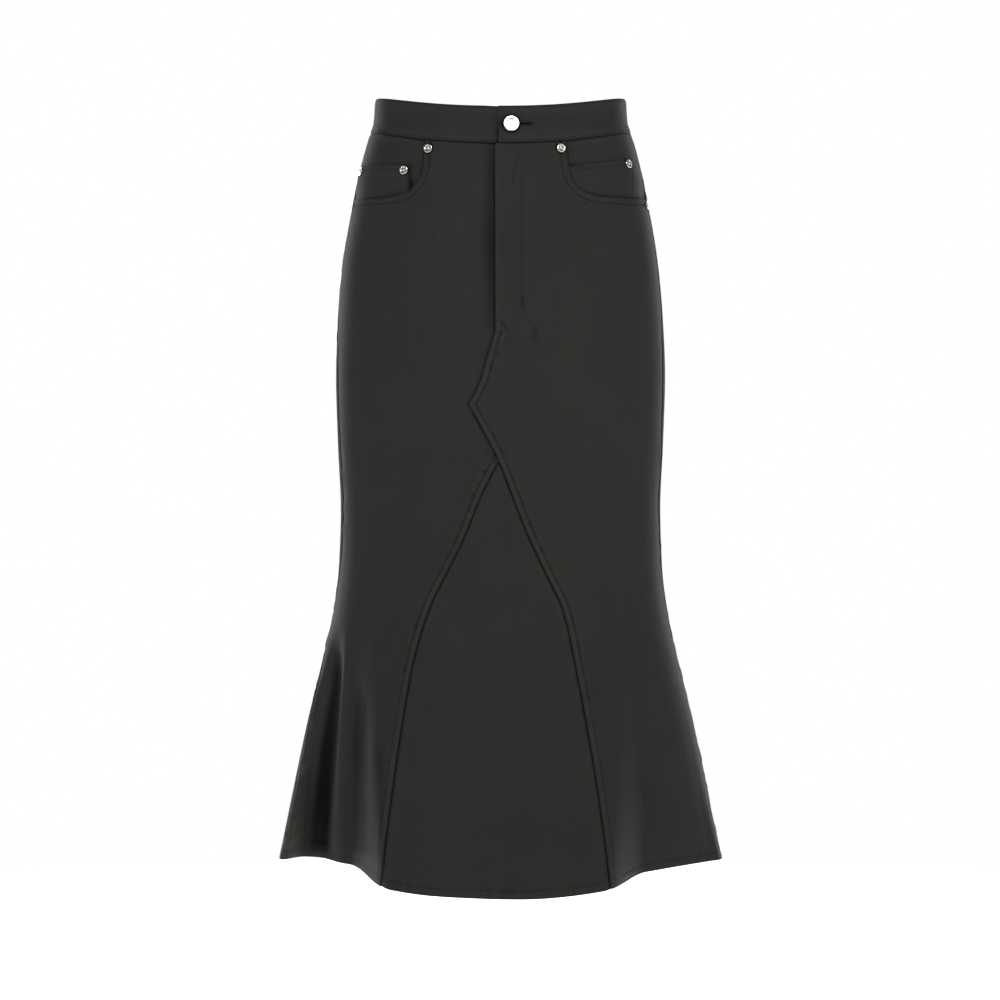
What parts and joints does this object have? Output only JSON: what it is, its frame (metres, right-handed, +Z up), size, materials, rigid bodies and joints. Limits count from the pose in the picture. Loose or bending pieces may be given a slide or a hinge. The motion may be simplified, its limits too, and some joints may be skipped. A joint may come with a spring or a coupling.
{
  "type": "denim skirt",
  "caption": "Worn midi skirt in dark denim with a jeans waistband, fly, scoop and coin pockets and a let-in front gusset, fitted to the knee and flared to an open hem.",
  "frame": {"origin": "middle of the waist, halfway up the waistband at the sides", "axes": "+Z up, -Y out of the skirt's front, +X towards the wearer's left"},
  "size_m": [0.463, 0.4014, 0.8182],
  "materials": {
    "denim": "matte twill, charcoal",
    "nickel": "polished"
  },
  "bodies": {
    "root": {"waistband": "denim", "front_right": "denim", "front_left": "denim", "front_gusset": "denim", "back_right": "denim", "back_left": "denim", "pocket_facing_right": "denim", "pocket_facing_left": "denim", "coin_pocket_right": "denim", "coin_pocket_left": "denim", "waist_button": "nickel", "rivet_pocket_right_top": "nickel", "rivet_pocket_left_top": "nickel", "rivet_pocket_right_side": "nickel", "rivet_pocket_left_side": "nickel", "rivet_coin_right_inner": "nickel", "rivet_coin_right_outer": "nickel", "rivet_coin_left_outer": "nickel"}
  },
  "joints": []
}
